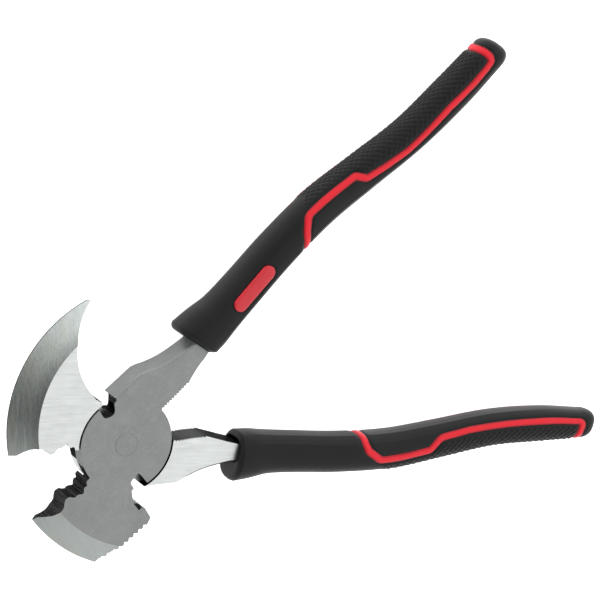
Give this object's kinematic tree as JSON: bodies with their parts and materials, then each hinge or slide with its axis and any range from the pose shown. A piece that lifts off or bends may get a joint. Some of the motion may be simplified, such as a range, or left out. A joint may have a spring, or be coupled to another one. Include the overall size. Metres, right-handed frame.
{
  "type": "fencing pliers",
  "caption": "Multi-purpose fencing pliers: hammer head with a milled face, curved claw spike, toothed jaws, wire notches and two moulded two-colour grips.",
  "frame": {"origin": "centre of the flat back face of the pivot rivet, on the pivot axis", "axes": "+Z along the pivot axis, from the claw half's back face to the hammer half's front face; +X from the pivot along the middle of the open handles; +Y towards the hammer half's handle; the tool is stored open as in the picture"},
  "size_m": [0.2366, 0.1766, 0.0188],
  "materials": {
    "forged_steel": "satin, bead blasted",
    "bright_steel": "linished",
    "rivet_steel": "satin",
    "black_elastomer": "matte",
    "red_plastic": "semi-gloss",
    "badge_red": "gloss"
  },
  "bodies": {
    "hammer_side": {"hammer_half": "forged_steel", "pivot_rivet": "rivet_steel", "upper_grip_core": "red_plastic", "upper_grip_outer": "black_elastomer", "upper_grip_inner": "black_elastomer", "grip_badge": "badge_red"},
    "claw_side": {"claw_half": "bright_steel", "lower_grip_core": "red_plastic", "lower_grip_outer": "black_elastomer", "lower_grip_inner": "black_elastomer"}
  },
  "joints": [
    {"name": "jaw_pivot", "type": "hinge", "parent": "hammer_side", "child": "claw_side", "pos_m": [0, 0, 0.0055], "axis": [0, 0, 1], "range_deg": [-15, 36]}
  ]
}
